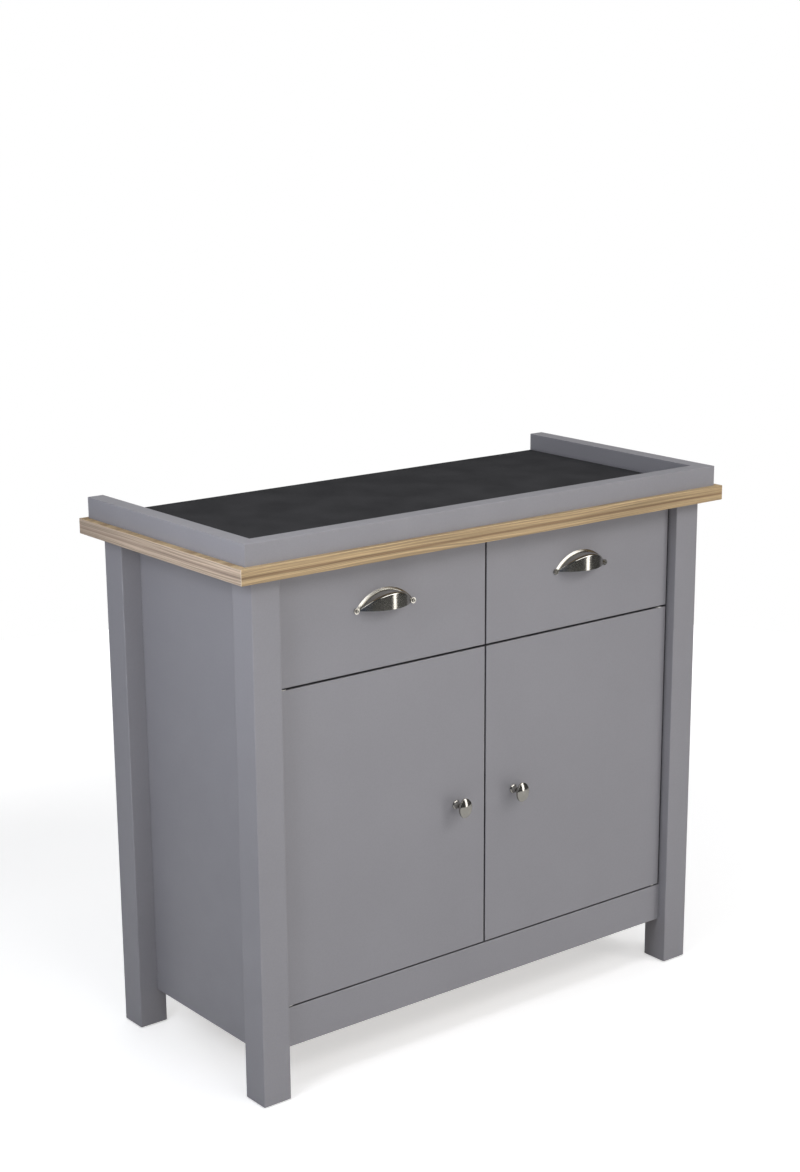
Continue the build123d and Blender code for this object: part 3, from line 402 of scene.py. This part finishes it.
def brushed_nickel(name, haze):
    """Polished nickel, brushed along its length, slightly warm and dark; haze blurs what it mirrors."""
    look = Look(name)
    lines = look.noise(look.stretched(look.place, (30.0, 2600.0, 2600.0)), 1.0, 3.0, 0.6)
    smears = look.noise(look.place, 90.0, 3.0, 0.6)
    tone = look.blend(look.fitted(smears, 0.3, 0.7), tuple(0.90 * c for c in NICKEL), NICKEL)
    shine = look.fitted(lines, 0.3, 0.7, haze, haze + 0.07)
    shine = look.math("ADD", shine, look.math("MULTIPLY", smears, 0.06))
    normal = look.bump(lines, 0.0012 * MM)
    return look.finish(Base_Color=tone, Metallic=1.0, Roughness=shine, Normal=normal)


def zinc_plate():
    """Bright zinc plating on pressed steel: cool, with a faint spangle and rolling marks."""
    look = Look("zinc_plate")
    spangle = look.cells(look.place, 240.0)
    rolled = look.noise(look.stretched(look.place, (900.0, 18.0, 900.0)), 1.0, 3.0, 0.6)
    tone = look.blend(look.fitted(spangle, 0.1, 0.6), tuple(0.86 * c for c in ZINC), ZINC)
    shine = look.math("ADD", look.fitted(rolled, 0.3, 0.7, 0.22, 0.34), look.math("MULTIPLY", spangle, 0.08))
    return look.finish(Base_Color=tone, Metallic=1.0, Roughness=shine, Normal=look.bump(rolled, 0.006 * MM))


def pull_screws():
    """Zinc-plated screws, with a nickel finish on what shows in front of the drawer front."""
    look = Look("drawer_screw_finish")
    rolled = look.noise(look.place, 900.0, 3.0, 0.6)
    shown = look.fitted(look.split(look.place)[1], DRAWER_FACE_Y - 0.5 * MM, DRAWER_FACE_Y, 1.0, 0.0)
    tone = look.blend(shown, ZINC, tuple(0.62 * c for c in NICKEL))
    shine = look.fitted(rolled, 0.3, 0.7, 0.2, 0.3)
    return look.finish(Base_Color=tone, Metallic=1.0, Roughness=shine, Normal=look.bump(rolled, 0.006 * MM))


def black_lacquer():
    """Thin black lacquer on pressed steel."""
    look = Look("black_lacquer")
    spots = look.noise(look.place, 300.0, 3.0, 0.6)
    tone = look.blend(look.fitted(spots, 0.3, 0.7), LACQUER_DARK, LACQUER_LIGHT)
    shine = look.fitted(spots, 0.3, 0.7, 0.34, 0.46)
    return look.finish(Base_Color=tone, Roughness=shine, Normal=look.bump(spots, 0.01 * MM))


def moulded_plastic(name, colour, dull):
    """Injection-moulded plastic with a fine spark-eroded texture."""
    look = Look(name)
    spark = look.noise(look.place, 1500.0, 3.0, 0.6)
    tone = look.blend(look.fitted(spark, 0.3, 0.7), tuple(0.88 * c for c in colour), colour)
    shine = look.fitted(look.noise(look.place, 140.0, 2.0), 0.3, 0.7, dull - 0.06, dull + 0.06)
    return look.finish(Base_Color=tone, Roughness=shine, Normal=look.bump(spark, 0.02 * MM))


def cell_foam():
    """Closed-cell black foam: small round cells, cut open at the surface, and a dusty bloom."""
    look = Look("cell_foam")
    cells = look.cells(look.place, 1300.0)
    bloom = look.fitted(look.noise(look.place, 14.0, 3.0), 0.3, 0.7)
    tone = look.blend(look.fitted(cells, 0.05, 0.55), tuple(0.5 * c for c in FOAM), FOAM)
    tone = look.blend(look.math("MULTIPLY", bloom, 0.35), tone, FOAM_DUST)
    return look.finish(Base_Color=tone, Roughness=0.92, Normal=look.bump(cells, 0.25 * MM))


# Which material each kind of node takes, by the first words of its name.
painted = painted_board("satin_paint")
painted_raw_foot = painted_board("satin_paint_raw_lower_edge", raw=("-z",))
melamine = melamine_board("melamine")
melamine_raw_rear = melamine_board("melamine_raw_rear_edge", raw=("+y",))
melamine_raw_ends = melamine_board("melamine_raw_ends", raw=("-z", "+y"))
hardboard = painted_board("lacquered_hardboard", CARCASS_GREY, raw=("-x", "+x", "-z", "+z"), dull=0.5)
zinc = zinc_plate()
LOOKS = {
    "worktop": oak_worktop("worktop"),
    "rim": painted,
    "leg_dowels": solid_timber("beech_dowel", BEECH, "x"),
    "leg": painted,
    "door_knob": brushed_nickel("turned_nickel", KNOB_HAZE),
    "door": painted,
    "drawer_front": painted,
    "cup_pull": brushed_nickel("brushed_nickel", PULL_HAZE),
    "side_panel": painted_raw_foot,
    "lower_rail": painted_raw_foot,
    "top_rail": melamine,
    "centre_partition": melamine_raw_rear,
    "drawer_deck": melamine_raw_rear,
    "floor_panel": melamine_raw_ends,
    "shelf_pins": zinc,
    "shelf": melamine_raw_rear,
    "drawer_back": melamine,
    "drawer_side": melamine,
    "drawer_bottom": hardboard,
    "back_panel_nails": zinc,
    "back_panel": hardboard,
    "foot_glides": moulded_plastic("black_glide", BLACK_PLASTIC, 0.5),
    "magnetic_catches": moulded_plastic("black_catch", BLACK_PLASTIC, 0.42),
    "pivot_bushes": moulded_plastic("natural_nylon", NYLON, 0.45),
    "levelling_mat": cell_foam(),
    "drawer_screws": pull_screws(),
    "pivot_plates": black_lacquer(),
}


def dress(node, thing):
    """Gives a node the look of the longest name in LOOKS that its own begins with, or else zinc plate."""
    names = [name for name in LOOKS if node.startswith(name)]
    material = LOOKS[max(names, key=len)] if names else zinc
    thing.data.materials.clear()
    thing.data.materials.append(material)


for node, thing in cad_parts.items():
    dress(node, thing)


# ---------------------------------------------------------------- levelling mat


def levelling_mat():
    """A soft foam sheet with rounded cut edges and a slight unevenness from being rolled up."""
    low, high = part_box("levelling_mat")
    size = high - low
    centre = (low + high) / 2
    mesh = bmesh.new()

    def ripple_at(x, y):
        return MAT_RIPPLE * (noise.noise(Vector((x * MAT_RIPPLE_SCALE, y * MAT_RIPPLE_SCALE, 0.4))) - 1.0)

    def height_at(x, y, top):
        """Half thickness here: full inside, falling in a quarter circle at the cut edge."""
        inset = min(size.x / 2 - abs(x), size.y / 2 - abs(y))
        inset = max(0.0, min(inset, MAT_EDGE_RADIUS))
        drop = MAT_EDGE_RADIUS - math.sqrt(MAT_EDGE_RADIUS**2 - (MAT_EDGE_RADIUS - inset) ** 2)
        uneven = ripple_at(x, y) if top else 0.0
        return size.z / 2 - drop + uneven * (inset / MAT_EDGE_RADIUS)

    def line(length, count):
        """Places across the sheet, with extra ones close to both edges for their rounding."""
        rim = [MAT_EDGE_RADIUS * (1.0 - math.cos(math.radians(a))) for a in (0, 30, 60, 90)]
        inner = length - 2 * MAT_EDGE_RADIUS
        middle = [MAT_EDGE_RADIUS + inner * i / count for i in range(1, count)]
        places = rim + middle + [length - r for r in reversed(rim)]
        return [p - length / 2 for p in places]

    xs = line(size.x, MAT_COLUMNS)
    ys = line(size.y, MAT_ROWS)
    sides = {}
    for top in (True, False):
        sign = 1.0 if top else -1.0
        grid = [[mesh.verts.new((x, y, sign * height_at(x, y, top))) for x in xs] for y in ys]
        sides[top] = grid
        for row, above in zip(grid, grid[1:]):
            for a, b, c, d in zip(row, row[1:], above[1:], above):
                mesh.faces.new((a, b, c, d) if top else (d, c, b, a))
    for loop_of in (
        lambda g: g[0],
        lambda g: [row[-1] for row in g],
        lambda g: g[-1][::-1],
        lambda g: [row[0] for row in g][::-1],
    ):
        upper = loop_of(sides[True])
        lower = loop_of(sides[False])
        for a, b, c, d in zip(upper, upper[1:], lower[1:], lower):
            mesh.faces.new((a, d, c, b))
    data = bpy.data.meshes.new("foam_mat")
    mesh.to_mesh(data)
    mesh.free()
    data.shade_smooth()
    mat = bpy.data.objects.new("foam_mat", data)
    mat.location = centre
    bpy.context.scene.collection.objects.link(mat)
    data.materials.append(LOOKS["levelling_mat"])
    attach(mat, "carcass")
    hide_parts("levelling_mat")


levelling_mat()


# ---------------------------------------------------------------- studio


def camera():
    """The camera, level and looking down a little from the front left."""
    data = bpy.data.cameras.new("camera")
    data.lens = CAMERA_LENS
    data.shift_x, data.shift_y = CAMERA_SHIFT
    thing = bpy.data.objects.new("camera", data)
    thing.location = CAMERA_PLACE
    ahead = Vector(
        (
            math.sin(CAMERA_YAW) * math.cos(CAMERA_PITCH),
            math.cos(CAMERA_YAW) * math.cos(CAMERA_PITCH),
            -math.sin(CAMERA_PITCH),
        )
    )
    thing.rotation_euler = ahead.to_track_quat("-Z", "Y").to_euler()
    bpy.context.scene.collection.objects.link(thing)
    bpy.context.scene.camera = thing


def floor():
    """A round white floor. It is lifted to plain white where the camera sees it, like a lit sweep."""
    look = Look("studio_floor")
    drift = look.fitted(look.noise(look.place, 1.5, 3.0), 0.3, 0.7, 0.70, 0.74)
    reach = look.tree.nodes.new("ShaderNodeVectorMath")
    reach.operation = "LENGTH"
    look.feed(reach.inputs[0], look.place)
    lift = look.fitted(reach.outputs["Value"], 0.4 * FLOOR_RADIUS, 0.9 * FLOOR_RADIUS, FLOOR_LIFT, 1.0)
    seen = look.tree.nodes.new("ShaderNodeLightPath").outputs["Is Camera Ray"]
    mesh = bmesh.new()
    bmesh.ops.create_circle(mesh, cap_ends=True, segments=96, radius=FLOOR_RADIUS)
    data = bpy.data.meshes.new("studio_floor")
    mesh.to_mesh(data)
    mesh.free()
    white = look.finish(
        Base_Color=grey(look, drift),
        Roughness=0.9,
        Emission_Color=WHITE,
        Emission_Strength=look.math("MULTIPLY", lift, seen),
    )
    data.materials.append(white)
    thing = bpy.data.objects.new("studio_floor", data)
    bpy.context.scene.collection.objects.link(thing)


def softbox(name, azimuth, elevation, distance, size, power, colour=WHITE, mirrored=True):
    """An area light aimed at the cabinet's middle. Azimuth 0 is straight in front, 90 to the right.

    Metal shows its reflection only if mirrored is true.
    """
    data = bpy.data.lights.new(name, "AREA")
    data.shape = "RECTANGLE"
    data.size, data.size_y = size
    data.energy = power
    data.color = colour
    turn, rise = math.radians(azimuth), math.radians(elevation)
    out = Vector((math.sin(turn) * math.cos(rise), -math.cos(turn) * math.cos(rise), math.sin(rise)))
    thing = bpy.data.objects.new(name, data)
    thing.location = Vector(LIGHTS_AIM) + out * distance
    thing.rotation_euler = (-out).to_track_quat("-Z", "Y").to_euler()
    thing.visible_camera = False
    thing.visible_glossy = mirrored
    bpy.context.scene.collection.objects.link(thing)


def surroundings():
    """A dim studio: darkest in front, cool on the left, brighter behind and white to the camera."""
    world = bpy.data.worlds.new("studio")
    world.use_nodes = True
    bpy.context.scene.world = world
    tree = world.node_tree
    tree.nodes.clear()
    nodes, links = tree.nodes, tree.links
    direction = nodes.new("ShaderNodeTexCoord").outputs["Generated"]
    parts = nodes.new("ShaderNodeSeparateXYZ")
    links.new(direction, parts.inputs[0])

    def mix(factor, first, second):
        node = nodes.new("ShaderNodeMix")
        node.data_type = "RGBA"
        links.new(factor, node.inputs[0])
        for socket, value in ((node.inputs[6], first), (node.inputs[7], second)):
            if isinstance(value, tuple):
                socket.default_value = (*value, 1.0)
            else:
                links.new(value, socket)
        return node.outputs[2]

    def fade(value, low, high):
        node = nodes.new("ShaderNodeMapRange")
        node.interpolation_type = "SMOOTHSTEP"
        links.new(value, node.inputs[0])
        node.inputs[1].default_value, node.inputs[2].default_value = low, high
        return node.outputs[0]

    behind = fade(parts.outputs["Y"], -0.15, 0.75)
    left = fade(parts.outputs["X"], -0.35, -0.95)
    tone = mix(behind, WORLD_FRONT, WORLD_BEHIND)
    tone = mix(left, tone, WORLD_LEFT)
    seen = nodes.new("ShaderNodeLightPath").outputs["Is Camera Ray"]
    tone = mix(seen, tone, WHITE)
    background = nodes.new("ShaderNodeBackground")
    links.new(tone, background.inputs["Color"])
    output = nodes.new("ShaderNodeOutputWorld")
    links.new(background.outputs[0], output.inputs["Surface"])


floor()
surroundings()
# Name, azimuth and elevation in degrees, distance, (width, height), power in watts and colour.
softbox("right_strip", 33.0, 12.0, 3.2, (0.58, 3.5), 22.0, (1.0, 0.985, 0.97))
softbox("left_strip", -66.0, 30.0, 1.5, (0.24, 1.3), 3.6, (0.95, 0.97, 1.0))
softbox("front_soft", 18.0, 39.0, 2.4, (3.0, 0.75), 22.0, (1.0, 0.99, 0.99))
softbox("low_soft", -12.0, 9.0, 2.6, (1.2, 0.8), 11.5, (1.0, 0.99, 0.98), mirrored=False)
softbox("left_soft", -78.0, 27.0, 1.36, (0.5, 0.5), 5.6, (0.93, 0.95, 1.0), mirrored=False)
softbox("top_soft", 0.0, 88.0, 2.2, (2.2, 1.8), 22.0, mirrored=False)
softbox("rear_fill", 160.0, 36.0, 3.4, (2.0, 1.4), 14.0, mirrored=False)
camera()
bpy.context.scene.view_settings.view_transform = "Standard"
